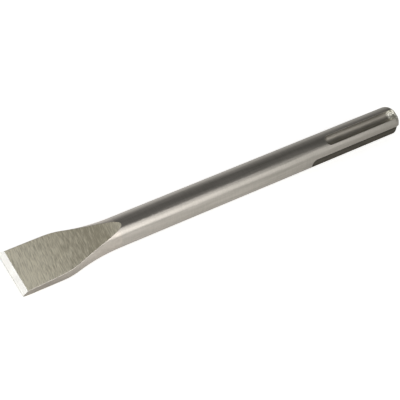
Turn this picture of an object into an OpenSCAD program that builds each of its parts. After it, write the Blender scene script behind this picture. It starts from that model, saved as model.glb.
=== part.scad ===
// Flat chisel with a grooved hammer-drill shank, forged from one round steel bar.
// Millimetres. Cutting edge towards -X, striking end towards +X. It lies as such a chisel does
// on a table, rolled until the lower arris of the blade's -Y side touches down.

/* [Bar] */
// Overall length from cutting edge to striking face
length = 280; // [240:5:400]
// Diameter of the round bar, which is also the shank
bar_d = 18; // [17:0.5:20]
// Radius that rounds the striking end
end_round = 5; // [2:0.5:6]

/* [Blade] */
// Width of the blade
blade_w = 27.5; // [24:0.5:34]
// Length of the blade that keeps its full width
blade_parallel = 26.5; // [16:0.5:28]
// Outer radius where the flare leaves the blade
shoulder_r = 47.5; // [30:0.5:60]
// Length of the flare from the parallel blade to the round bar
flare_l = 39.9; // [34:0.1:46]

/* [Ground faces] */
// Thickness between the two ground faces at their thinnest
face_t = 5.3; // [3.5:0.1:6]
// Hollow radius of each ground face
face_r = 570; // [420:10:640]
// How far before the cutting edge the faces are at their thinnest
face_lead = 16; // [0:1:20]

/* [Cutting edge] */
// Length of the edge bevel along the tool
bevel_l = 2.8; // [1.5:0.1:4]
// Thickness left at the very edge
edge_t = 0.3; // [0.2:0.1:0.6]

/* [Shank grooves] */
// Radius of the round-bottomed grooves
groove_r = 3.5; // [2.5:0.25:4]
// Depth of the grooves below the bar's surface
groove_depth = 3.1; // [2:0.1:3.5]
// Length of the open groove in line with the blade's face
face_groove_l = 61; // [45:1:70]
// Length of the two other open grooves
side_groove_l = 74; // [60:1:85]
// Turn of the face groove about the bar, away from the blade's face
groove_turn = 5; // [0:1:15]
// Angle between the face groove and the side groove
side_groove_angle = 78; // [70:1:90]
// Distance of the two closed locking grooves from the striking face
lock_start = 20; // [15:1:30]
// Length of the locking grooves
lock_l = 36; // [20:1:36]
// Angle of each locking groove from the back groove
lock_angle = 48; // [46:1:60]

/* [Rest] */
// Roll about the bar at which the blade touches the table
rest_roll = 22.7; // [0:0.1:30]

/* [Hidden] */
$fn = 96;
bar_r = bar_d / 2;
side_shift = blade_w / 2 - bar_r;
shoulder_path_r = shoulder_r - bar_r;
bend_sum_r = (pow(flare_l, 2) + pow(side_shift, 2)) / (2 * side_shift);
neck_path_r = bend_sum_r - shoulder_path_r;
flare_angle = asin(flare_l / bend_sum_r);
flare_end = blade_parallel + flare_l;
bend_mid_y = side_shift - shoulder_path_r * (1 - cos(flare_angle));
bend_mid_x = blade_parallel + shoulder_path_r * sin(flare_angle);
bend_x = bend_mid_x - bend_mid_y * tan(flare_angle);
bend_out_x = bend_mid_x + (blade_w - bend_mid_y) * tan(flare_angle);
face_half_t = face_t / 2;
flare_half_t = face_half_t + pow(flare_end + face_lead, 2) / (2 * face_r);
core_half_t = (flare_half_t + bar_r) / 2;
bevel_half_t = face_half_t + pow(bevel_l + face_lead, 2) / (2 * face_r);
groove_axis_r = bar_r - groove_depth + groove_r;
cut = 1;
steel = [0.62, 0.61, 0.58];

// Rounded side of the bar, kept to the height that the ground faces leave
module side_round() {
  intersection() {
    circle(r = bar_r);
    translate([0, -core_half_t]) square([bar_r + cut, 2 * core_half_t]);
  }
}

// Blade section with its flat middle and one rounded side, reaching inwards by depth
module side_section(depth) {
  side_round();
  translate([-depth, -core_half_t]) square([depth, 2 * core_half_t]);
}

// Stretch of blade with parallel sides
module parallel_side() {
  rotate([90, 0, 90]) linear_extrude(height = blade_parallel)
    translate([side_shift, 0]) side_section(side_shift);
}

// Plan view slice of the +Y half between two lines across it
module plan_slice(from, from_out, to, to_out) {
  translate([0, 0, -bar_d]) linear_extrude(height = 2 * bar_d)
    polygon([[from, 0], [to, 0], [to_out, blade_w], [from_out, blade_w]]);
}

// Convex bend from the blade's side into the flare
module shoulder_side() {
  intersection() {
    translate([blade_parallel, side_shift - shoulder_path_r, 0])
      rotate_extrude() translate([shoulder_path_r, 0]) side_section(2 * side_shift);
    plan_slice(blade_parallel, blade_parallel, bend_x, bend_out_x);
  }
}

// Concave bend from the flare out into the round bar
module neck_side() {
  intersection() {
    translate([flare_end, neck_path_r, 0])
      rotate_extrude()
        translate([neck_path_r, 0]) mirror([1, 0]) side_section(2 * side_shift);
    plan_slice(bend_x, bend_out_x, flare_end, flare_end);
  }
}

module half_flare() {
  union() {
    parallel_side();
    shoulder_side();
    neck_side();
  }
}

// Quarter outline of the rounded striking end, turned with the bar
module bar_outline() {
  square([bar_r, length - end_round]);
  square([bar_r - end_round, length]);
  translate([bar_r - end_round, length - end_round]) intersection() {
    circle(r = end_round);
    square([end_round, end_round]);
  }
}

module round_bar() {
  rotate([0, 90, 0]) rotate_extrude() intersection() {
    bar_outline();
    translate([0, flare_end]) square([bar_d, length]);
  }
}

// Hollow-ground face, one on each side of the blade
module face_cut() {
  translate([-face_lead, 0, face_half_t + face_r])
    rotate([90, 0, 0]) cylinder(r = face_r, h = 2 * blade_w, center = true, $fn = 256);
}

// Steel taken off to leave the edge bevel
module bevel_cut() {
  rotate([90, 0, 0]) linear_extrude(height = 2 * blade_w, center = true)
    polygon([
      [-cut, edge_t / 2],
      [0, edge_t / 2],
      [2 * bevel_l, 2 * bevel_half_t - edge_t / 2],
      [-cut, 2 * bevel_half_t - edge_t / 2]
    ]);
}

// Round-bottomed groove from one distance to another behind the striking face
module groove(from, to) {
  translate([length - to + groove_r, 0, groove_axis_r]) rotate([0, 90, 0]) union() {
    cylinder(r = groove_r, h = to - from - 2 * groove_r);
    sphere(r = groove_r);
    translate([0, 0, to - from - 2 * groove_r]) sphere(r = groove_r);
  }
}

module open_groove(groove_l) {
  groove(-2 * groove_r, groove_l);
}

// Groove position round the bar, as an angle from the blade's face towards -Y
module at_angle(angle) {
  rotate([groove_turn + angle, 0, 0]) children();
}

// Three open drive grooves, and two closed locking grooves beside the one at the back
module shank_grooves() {
  back_angle = 180 + side_groove_angle / 2;
  at_angle(0) open_groove(face_groove_l);
  at_angle(side_groove_angle) open_groove(side_groove_l);
  at_angle(back_angle) open_groove(side_groove_l);
  at_angle(back_angle - lock_angle) groove(lock_start, lock_start + lock_l);
  at_angle(back_angle + lock_angle) groove(lock_start, lock_start + lock_l);
}

module chisel() {
  color(steel) translate([-length / 2, 0, bar_r]) rotate([rest_roll, 0, 0]) difference() {
    union() {
      half_flare();
      mirror([0, 1, 0]) half_flare();
      round_bar();
    }
    face_cut();
    mirror([0, 0, 1]) face_cut();
    bevel_cut();
    mirror([0, 0, 1]) bevel_cut();
    shank_grooves();
  }
}

chisel();
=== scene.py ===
import math

import bpy
from mathutils import Matrix, Vector

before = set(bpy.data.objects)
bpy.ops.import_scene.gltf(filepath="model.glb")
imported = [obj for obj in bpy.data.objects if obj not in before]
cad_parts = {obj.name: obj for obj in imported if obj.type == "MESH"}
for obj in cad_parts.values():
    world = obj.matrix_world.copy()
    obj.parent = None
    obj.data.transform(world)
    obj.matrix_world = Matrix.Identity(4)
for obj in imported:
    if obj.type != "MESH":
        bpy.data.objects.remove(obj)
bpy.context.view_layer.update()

MM = 0.001

# Sizes of the chisel in millimetres, as its source has them. Distances along the tool count
# from the cutting edge.
LENGTH = 280
BAR_RADIUS = 9
END_ROUND = 5
BEVEL_LENGTH = 2.8
FLARE_END = 66.4
FACE_HALF_THICKNESS = 2.65
FACE_LEAD = 16
FACE_RADIUS = 570
FACE_END = 82
GROOVED_FROM = 200

# The chisel lies rolled about its bar until the blade's lower arris touches the table.
ROLL = math.radians(22.7)
HALF_LENGTH = LENGTH / 2 * MM
BAR_AXIS = Vector((0, 0, BAR_RADIUS * MM))
UNROLL = Matrix.Rotation(-ROLL, 3, "X")


def linear(hex_colour):
    """sRGB hex to the linear colour that Blender's sockets take."""
    parts = [int(hex_colour[i:i + 2], 16) / 255 for i in (1, 3, 5)]
    return tuple(p / 12.92 if p <= 0.04045 else ((p + 0.055) / 1.055) ** 2.4 for p in parts) + (1.0,)


def add_node(tree, kind, settings=None, **links):
    """Adds a node, sets its attributes, and fills each socket with a value or a link. A socket
    goes by its name, with _ for a space, or by its number, as in i0."""
    node = tree.nodes.new(kind)
    for name, value in (settings or {}).items():
        setattr(node, name, value)
    for name, value in links.items():
        numbered = name[0] == "i" and name[1:].isdigit()
        socket = node.inputs[int(name[1:]) if numbered else name.replace("_", " ")]
        if isinstance(value, bpy.types.NodeSocket):
            tree.links.new(value, socket)
        else:
            socket.default_value = value
    return node


def new_material(name):
    material = bpy.data.materials.new(name)
    material.use_nodes = True
    material.node_tree.nodes.clear()
    return material, material.node_tree


# ---- Steel --------------------------------------------------------------------------------

NOISE_LOW, NOISE_HIGH = 0.3, 0.7  # noise values seldom leave this range
MARKS_DETAIL, PATCH_DETAIL = 2.0, 3.0
CLEAN_FROM = 8  # mm from the cutting edge, where the last grinding passes begin to fade
CLEAN_SHARE = 0.35  # how much paler they leave the steel at the edge, and darker at their end
RUN_OUT_LENGTH, RUN_OUT_SHARE = 10, 0.5  # over how many mm a lifting wheel pales it, and how much
# Colour and roughness of worn arrises; the paler colour is partly bright worn steel and partly a
# painted highlight
RUBBED_STEEL_AND_HIGHLIGHT, RUBBED_ROUGHNESS = "#d8d4cb", 0.3
RUBBED_FULLY, RUBBED_BARELY = 0.93, 0.985  # cosine between the flat facet and the rounded arris
DENT_SIZE, DENT_DEPTH, PEENING_AND_GLINT_FADE = 1.25, 0.5, 2  # mm
# Painted glints in the dents: the hollows near white, the rims paler than the groove
DENT_RIM_GLINT, DENT_HOLLOW_GLINT = "#c9c6b8", "#fffdf2"


def streaks(tree, spot, sizes, detail):
    """Noise drawn out by sizes in mm along the tool, across it and off the blade's plane."""
    stretch = add_node(tree, "ShaderNodeMapping", {"vector_type": "POINT"}, Vector=spot,
                       Scale=tuple(1 / size for size in sizes)).outputs[0]
    return add_node(tree, "ShaderNodeTexNoise", Vector=stretch, Scale=1.0, Detail=detail,
                    Roughness=0.6).outputs[0]


def steel(name, light, dark, rough, rough_patch, spread, streak, patch, mark_share, bump_mm,
          edge_break, slant=0, cleaner_to=None, runs_out_from=None, peened_and_glinting_from=None):
    """Bare steel. light and dark: its colour on and between the tool marks. rough: its roughness
    in clean places and in worn ones. spread: how far the marks drag a reflection along the tool.
    streak and patch: sizes in mm of the tool marks and of the slower change over the surface.
    mark_share: how much of the colour's change is the tool marks'. bump_mm: depth of the marks.
    edge_break: how far each arris is worn round, in mm, which catches the light as a pale line; there
    the colour is also painted paler, partly as bright worn steel and partly as a painted highlight.
    slant: how far the tool marks are swung from square across the tool, in degrees.
    cleaner_to: how far from the cutting edge the last, cleanest grinding passes fade out, in mm.
    runs_out_from: where along the tool the wheel lifted off and left finer, paler marks, in mm.
    peened_and_glinting_from: where along the tool the hammer has peened the surface into dents, in mm;
    from there their hollows and rims are painted with bright glints.
    The real marks are about a tenth as wide as the picture can show, so each is drawn coarser."""
    material, tree = new_material(name)
    place = add_node(tree, "ShaderNodeTexCoord").outputs["Object"]
    level = add_node(tree, "ShaderNodeMapping", {"vector_type": "POINT"}, Vector=place,
                     Location=(LENGTH / 2, -BAR_RADIUS * math.sin(ROLL), -BAR_RADIUS * math.cos(ROLL)),
                     Rotation=(-ROLL, 0, 0), Scale=(1 / MM, 1 / MM, 1 / MM)).outputs[0]
    swung = add_node(tree, "ShaderNodeMapping", {"vector_type": "POINT"}, Vector=level,
                     Rotation=(0, 0, math.radians(slant))).outputs[0]
    distance = add_node(tree, "ShaderNodeSeparateXYZ", Vector=level).outputs["X"]

    # Colour and roughness from the tool marks and the slower change
    marks = streaks(tree, swung, streak, MARKS_DETAIL)
    broad = streaks(tree, level, patch, PATCH_DETAIL)
    marks_part = add_node(tree, "ShaderNodeMath", {"operation": "MULTIPLY"},
                          i0=marks, i1=mark_share).outputs[0]
    both = add_node(tree, "ShaderNodeMath", {"operation": "MULTIPLY_ADD"},
                    i0=broad, i1=1 - mark_share, i2=marks_part).outputs[0]
    tone = add_node(tree, "ShaderNodeMapRange", Value=both, From_Min=NOISE_LOW,
                    From_Max=NOISE_HIGH, To_Min=0.0, To_Max=1.0).outputs[0]
    if cleaner_to:
        cleaner = add_node(tree, "ShaderNodeMapRange", Value=distance, From_Min=CLEAN_FROM,
                           From_Max=cleaner_to, To_Min=CLEAN_SHARE, To_Max=-CLEAN_SHARE).outputs[0]
        tone = add_node(tree, "ShaderNodeMath", {"operation": "ADD", "use_clamp": True},
                        i0=tone, i1=cleaner).outputs[0]
    if runs_out_from:
        paler = add_node(tree, "ShaderNodeMapRange", Value=distance, From_Min=runs_out_from,
                         From_Max=runs_out_from + RUN_OUT_LENGTH, To_Min=0.0,
                         To_Max=RUN_OUT_SHARE).outputs[0]
        tone = add_node(tree, "ShaderNodeMath", {"operation": "ADD", "use_clamp": True},
                        i0=tone, i1=paler).outputs[0]
    colour = add_node(tree, "ShaderNodeMix", {"data_type": "RGBA"},
                      i0=tone, i6=linear(dark), i7=linear(light)).outputs[2]
    roughness = add_node(tree, "ShaderNodeMapRange", Value=broad, From_Min=NOISE_LOW,
                         From_Max=NOISE_HIGH, To_Min=rough, To_Max=rough_patch).outputs[0]

    # Arrises worn round by handling: rounder and smoother, and paler, partly as bright worn steel and
    # partly as a painted highlight along each arris
    flat = add_node(tree, "ShaderNodeNewGeometry").outputs["Normal"]
    round_over = add_node(tree, "ShaderNodeBevel", {"samples": 8}, Radius=edge_break * MM).outputs[0]
    turned = add_node(tree, "ShaderNodeVectorMath", {"operation": "DOT_PRODUCT"},
                      i0=round_over, i1=flat).outputs["Value"]
    rubbed_and_highlit = add_node(tree, "ShaderNodeMapRange", Value=turned, From_Min=RUBBED_FULLY,
                      From_Max=RUBBED_BARELY, To_Min=1.0, To_Max=0.0).outputs[0]
    # Painted highlight: the arris colour is mixed paler, partly as bright worn steel
    colour = add_node(tree, "ShaderNodeMix", {"data_type": "RGBA"},
                      i0=rubbed_and_highlit, i6=colour, i7=linear(RUBBED_STEEL_AND_HIGHLIGHT)).outputs[2]
    roughness = add_node(tree, "ShaderNodeMix", {"data_type": "FLOAT"},
                         i0=rubbed_and_highlit, i2=roughness, i3=RUBBED_ROUGHNESS).outputs[0]
    relief = add_node(tree, "ShaderNodeBump", Height=marks, Strength=1.0, Distance=bump_mm * MM,
                      Normal=round_over).outputs[0]

    # Dents where the hammer has peened the steel, with painted glints: hollows near white and rims
    # paler than the groove
    if peened_and_glinting_from:
        dented_and_glinting = add_node(tree, "ShaderNodeMapRange", Value=distance, From_Min=peened_and_glinting_from,
                          From_Max=peened_and_glinting_from + PEENING_AND_GLINT_FADE, To_Min=0.0, To_Max=1.0).outputs[0]
        dents = add_node(tree, "ShaderNodeTexVoronoi", Vector=level,
                         Scale=1 / DENT_SIZE).outputs["Distance"]
        sheen = add_node(tree, "ShaderNodeMapRange", Value=dents, From_Min=0.25, From_Max=0.75,
                         To_Min=1.0, To_Max=0.0).outputs[0]
        dent_glints = add_node(tree, "ShaderNodeMix", {"data_type": "RGBA"},
                          i0=sheen, i6=linear(DENT_RIM_GLINT), i7=linear(DENT_HOLLOW_GLINT)).outputs[2]
        colour = add_node(tree, "ShaderNodeMix", {"data_type": "RGBA"},
                          i0=dented_and_glinting, i6=colour, i7=dent_glints).outputs[2]
        relief = add_node(tree, "ShaderNodeBump", Height=dents, Strength=dented_and_glinting,
                          Distance=DENT_DEPTH * MM, Normal=relief).outputs[0]

    along = add_node(tree, "ShaderNodeCombineXYZ", X=1.0, Y=0.0, Z=0.0).outputs[0]
    shader = add_node(tree, "ShaderNodeBsdfPrincipled", Base_Color=colour, Metallic=1.0,
                      Roughness=roughness, Anisotropic=spread, Tangent=along, Normal=relief)
    add_node(tree, "ShaderNodeOutputMaterial", Surface=shader.outputs["BSDF"])
    return material


# Tool steel bar, drawn and then centreless ground: long fine drawing lines along it, and rings
# round it that blur reflections along the bar.
BAR = steel("ground bar steel", "#c2bcb4", "#a6a299", 0.30, 0.38, 0.35,
            (0.5, 7, 7), (35, 1.6, 1.6), 0.35, 0.0014, 0.3, cleaner_to=250)
# Blade faces, ground crosswise on a coarse wheel: they scatter far along the tool and look pale.
FACE = steel("coarse-ground blade steel", "#faf5e3", "#c3bca7", 0.62, 0.70, 0.7,
             (0.62, 4.5, 4.5), (9, 12, 12), 0.88, 0.009, 0.55,
             slant=10, cleaner_to=50, runs_out_from=58)
# Edge bevel, ground last on a finer wheel, so it is the cleanest and brightest.
BEVEL = steel("fine-ground edge steel", "#bbbab6", "#b1b0ac", 0.34, 0.40, 0.5,
              (0.25, 12, 12), (4, 8, 8), 0.5, 0.004, 0.2)
# Forged sides of the blade, only brushed after hardening: even, with a soft sheen.
SIDE = steel("brushed forged steel", "#cac3b9", "#b2aba2", 0.27, 0.35, 0.3,
             (2.5, 2.5, 2.5), (9, 6, 6), 0.4, 0.006, 0.55)
# Milled grooves, never polished: darker from the hardening bath's grey film.
GROOVE = steel("milled groove steel", "#928d83", "#77736a", 0.42, 0.50, 0.1,
               (7, 0.5, 0.5), (12, 4, 4), 0.5, 0.004, 0.3)
# The side groove has the same grey film and is painted darker again as the shade it lies in, facing
# the table.
SIDE_GROOVE_SHADED = steel("milled side groove steel, painted darker as shade", "#5c5850", "#47443d", 0.44, 0.52, 0.1,
                    (7, 0.5, 0.5), (12, 4, 4), 0.5, 0.004, 0.3)
# The face groove, turned toward the lamps, is painted paler than the other grooves as the light it
# catches; the hammer has peened its mouth into small dents, painted with bright glints.
FACE_GROOVE_LIT = steel("milled groove steel, peened at its mouth", "#a8a399", "#8c877d", 0.42, 0.50,
                    0.1, (7, 0.5, 0.5), (12, 4, 4), 0.5, 0.004, 0.3, peened_and_glinting_from=271.5)

FINISHES = [BAR, FACE, BEVEL, SIDE, GROOVE, SIDE_GROOVE_SHADED, FACE_GROOVE_LIT]

# How a facet of each surface is told from its neighbours, in mm and by its normal's parts
BEVEL_ALLOWANCE, BEVEL_FACING = 0.05, 0.4
FACE_ALLOWANCE, FACE_FACING = 0.07, 0.97
GROOVE_ALLOWANCE, END_ALLOWANCE, END_FACING = 0.12, 0.5, 0.98
SIDE_GROOVE_TURNS, FACE_GROOVE_TURNS = (50, 115), (-30, 40)  # degrees round the bar


def tool_place(point):
    """A point as distance from the cutting edge, across the blade and off its plane, in mm."""
    p = UNROLL @ (Vector(point) - BAR_AXIS)
    return (p.x + HALF_LENGTH) / MM, p.y / MM, p.z / MM


def skin_radius(x):
    """Radius of the ungrooved bar at a distance from the cutting edge, rounded end included."""
    into_round = max(0, x - (LENGTH - END_ROUND))
    return BAR_RADIUS - END_ROUND + math.sqrt(max(0, END_ROUND ** 2 - into_round ** 2))


def finish_of(polygon):
    """The finish that a facet of the chisel has, from where it lies on the tool."""
    x, y, z = tool_place(polygon.center)
    facing = UNROLL @ polygon.normal
    face_height = FACE_HALF_THICKNESS + (x + FACE_LEAD) ** 2 / (2 * FACE_RADIUS)
    on_face = abs(abs(z) - face_height) < FACE_ALLOWANCE and abs(facing.z) > FACE_FACING
    if x < BEVEL_LENGTH + BEVEL_ALLOWANCE and abs(facing.x) > BEVEL_FACING:
        return BEVEL
    if x < FACE_END and on_face:
        return FACE
    if x < FLARE_END:
        return SIDE
    on_shank = GROOVED_FROM < x < LENGTH - END_ALLOWANCE and abs(facing.x) < END_FACING
    if not on_shank or math.hypot(y, z) > skin_radius(x) - GROOVE_ALLOWANCE:
        return BAR
    turn = math.degrees(math.atan2(-y, z))
    if SIDE_GROOVE_TURNS[0] < turn < SIDE_GROOVE_TURNS[1]:
        return SIDE_GROOVE_SHADED
    if FACE_GROOVE_TURNS[0] < turn < FACE_GROOVE_TURNS[1]:
        return FACE_GROOVE_LIT
    return GROOVE


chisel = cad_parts["chisel"]
chisel.data.materials.clear()
for finish in FINISHES:
    chisel.data.materials.append(finish)
for polygon in chisel.data.polygons:
    polygon.material_index = FINISHES.index(finish_of(polygon))


# ---- Camera -------------------------------------------------------------------------------

# Found by fitting the outline to the photograph. The camera is tilted towards the cutting edge
# and turned towards the near side, both seen from square over the blade's face, and its picture
# is spun until the bar rises to the right.
TILT, TURN, SPIN = math.radians(30.46), math.radians(21.57), math.radians(22.37)
DISTANCE = 0.823  # metres, to the point on the bar's axis that it aims at
AIMED_AT = 126.98 * MM  # from the cutting edge
AIMED_ACROSS, AIMED_DOWN = 199.84, 197.60  # where that point lies in the picture, in pixels
PICTURE = 400  # pixels, square
FOCAL = 1420.0  # pixels
SENSOR = 36  # mm


def place_camera():
    """Looks along the bar from the blade's side, as the photograph does, from 0.82 m."""
    face = Vector((0, -math.sin(ROLL), math.cos(ROLL)))
    near = Vector((0, -math.cos(ROLL), -math.sin(ROLL)))
    along = Vector((1, 0, 0))
    to_camera = face * math.cos(TURN) + near * math.sin(TURN)
    down = near * math.cos(TURN) - face * math.sin(TURN)
    forward = along * math.sin(TILT) - to_camera * math.cos(TILT)
    picture_along = along * math.cos(TILT) + to_camera * math.sin(TILT)
    right = picture_along * math.cos(SPIN) + down * math.sin(SPIN)
    up = picture_along * math.sin(SPIN) - down * math.cos(SPIN)
    off_right = (AIMED_ACROSS - PICTURE / 2) / FOCAL
    off_up = (PICTURE / 2 - AIMED_DOWN) / FOCAL
    forward = (forward - right * off_right - up * off_up).normalized()
    right = (right - forward * right.dot(forward)).normalized()
    up = right.cross(forward)
    aimed = BAR_AXIS + along * (AIMED_AT - HALF_LENGTH)
    lens = bpy.data.cameras.new("camera")
    lens.sensor_width = SENSOR
    lens.lens = SENSOR * FOCAL / PICTURE
    lens.clip_end = 20
    camera = bpy.data.objects.new("camera", lens)
    camera.matrix_world = Matrix((right, up, -forward)).transposed().to_4x4()
    camera.location = aimed - (forward + right * off_right + up * off_up) * DISTANCE
    bpy.context.scene.collection.objects.link(camera)
    bpy.context.scene.camera = camera


place_camera()


# ---- Floor and light ----------------------------------------------------------------------

WHITE = linear("#ffffff")
FLOOR_HALF = 3.0  # metres
FLOOR_TO_CAMERA = 0.68  # glow that brings the lit floor up to white in the picture


def pale_floor():
    """A wide pale table top that keeps the chisel's shadow and reads as white to camera and
    metal. Its glow as the metal sees it is painted darker as shade close to the tool, beside the blade
    and beyond the shank."""
    mesh = bpy.data.meshes.new("floor")
    s = FLOOR_HALF
    mesh.from_pydata([(-s, -s, 0), (s, -s, 0), (s, s, 0), (-s, s, 0)], [], [(0, 1, 2, 3)])
    floor = bpy.data.objects.new("floor", mesh)
    bpy.context.scene.collection.objects.link(floor)
    # High-pressure laminate, pressed with a matt sheet: an even pale grey-white without gloss.
    material, tree = new_material("pale laminate")
    path = add_node(tree, "ShaderNodeLightPath").outputs
    matt = add_node(tree, "ShaderNodeBsdfDiffuse", Color=linear("#f0efec"))
    place = add_node(tree, "ShaderNodeTexCoord").outputs["Object"]
    split = add_node(tree, "ShaderNodeSeparateXYZ", Vector=place).outputs
    # Painted shade in what the metal sees: the floor's glow is dimmer close to the tool, beside the
    # blade and beyond the shank
    away = add_node(tree, "ShaderNodeMath", {"operation": "ABSOLUTE"}, i0=split["Y"]).outputs[0]
    open_floor = add_node(tree, "ShaderNodeMapRange", Value=away, From_Min=2 * MM,
                          From_Max=20 * MM, To_Min=0.24, To_Max=0.44).outputs[0]
    beside_blade = add_node(tree, "ShaderNodeMapRange", Value=split["X"], From_Min=-120 * MM,
                            From_Max=-88 * MM, To_Min=0.3, To_Max=1.0).outputs[0]
    beyond_shank = add_node(tree, "ShaderNodeMapRange", Value=split["X"], From_Min=20 * MM,
                            From_Max=150 * MM, To_Min=1.0, To_Max=0.3).outputs[0]
    both_ends = add_node(tree, "ShaderNodeMath", {"operation": "MULTIPLY"},
                         i0=beside_blade, i1=beyond_shank).outputs[0]
    seen = add_node(tree, "ShaderNodeMath", {"operation": "MULTIPLY"},
                    i0=open_floor, i1=both_ends).outputs[0]
    metal_share = add_node(tree, "ShaderNodeMath", {"operation": "MULTIPLY"},
                           i0=path["Is Glossy Ray"], i1=seen).outputs[0]
    share = add_node(tree, "ShaderNodeMath", {"operation": "MULTIPLY_ADD"},
                     i0=path["Is Camera Ray"], i1=FLOOR_TO_CAMERA, i2=metal_share).outputs[0]
    glow = add_node(tree, "ShaderNodeEmission", Color=WHITE, Strength=share)
    both = add_node(tree, "ShaderNodeAddShader", i0=matt.outputs[0], i1=glow.outputs[0])
    add_node(tree, "ShaderNodeOutputMaterial", Surface=both.outputs[0])
    mesh.materials.append(material)


def studio_world():
    """A pale room, darker towards the ceiling and beyond the shank, and white to the camera."""
    world = bpy.data.worlds.new("studio")
    world.use_nodes = True
    tree = world.node_tree
    tree.nodes.clear()
    path = add_node(tree, "ShaderNodeLightPath").outputs
    way = add_node(tree, "ShaderNodeTexCoord").outputs["Generated"]
    split = add_node(tree, "ShaderNodeSeparateXYZ", Vector=way).outputs
    rise = add_node(tree, "ShaderNodeMapRange", {"interpolation_type": "SMOOTHSTEP"},
                    Value=split["Z"], From_Min=0.1, From_Max=0.75,
                    To_Min=0.85, To_Max=0.185).outputs[0]
    beyond_shank = add_node(tree, "ShaderNodeMapRange", {"interpolation_type": "SMOOTHSTEP"},
                            Value=split["X"], From_Min=0.45, From_Max=0.75,
                            To_Min=1.0, To_Max=0.42).outputs[0]
    level = add_node(tree, "ShaderNodeMath", {"operation": "MULTIPLY"},
                     i0=rise, i1=beyond_shank).outputs[0]
    room = add_node(tree, "ShaderNodeBackground", Color=WHITE, Strength=level)
    backdrop = add_node(tree, "ShaderNodeBackground", Color=WHITE, Strength=1.0)
    mix = add_node(tree, "ShaderNodeMixShader", i0=path["Is Camera Ray"],
                   i1=room.outputs[0], i2=backdrop.outputs[0])
    add_node(tree, "ShaderNodeOutputWorld", Surface=mix.outputs[0])
    bpy.context.scene.world = world


def softbox(name, where, aim, width, height, watts):
    """A rectangular lamp, with its place, aim and size in metres."""
    light = bpy.data.lights.new(name, "AREA")
    light.shape = "RECTANGLE"
    light.size, light.size_y, light.energy = width, height, watts
    lamp = bpy.data.objects.new(name, light)
    lamp.location = where
    lamp.rotation_euler = (Vector(aim) - Vector(where)).to_track_quat("-Z", "Y").to_euler()
    bpy.context.scene.collection.objects.link(lamp)


pale_floor()
studio_world()
softbox("long softbox beside the camera", where=(0.31, -1.2, 0.745), aim=(0, 0, 0),
        width=0.8, height=1.0, watts=6.2)
softbox("softbox beyond the blade", where=(-1.22, 0.1, 0.84), aim=(-0.1, 0, 0),
        width=0.6, height=0.6, watts=4.8)

bpy.context.scene.view_settings.view_transform = "Standard"
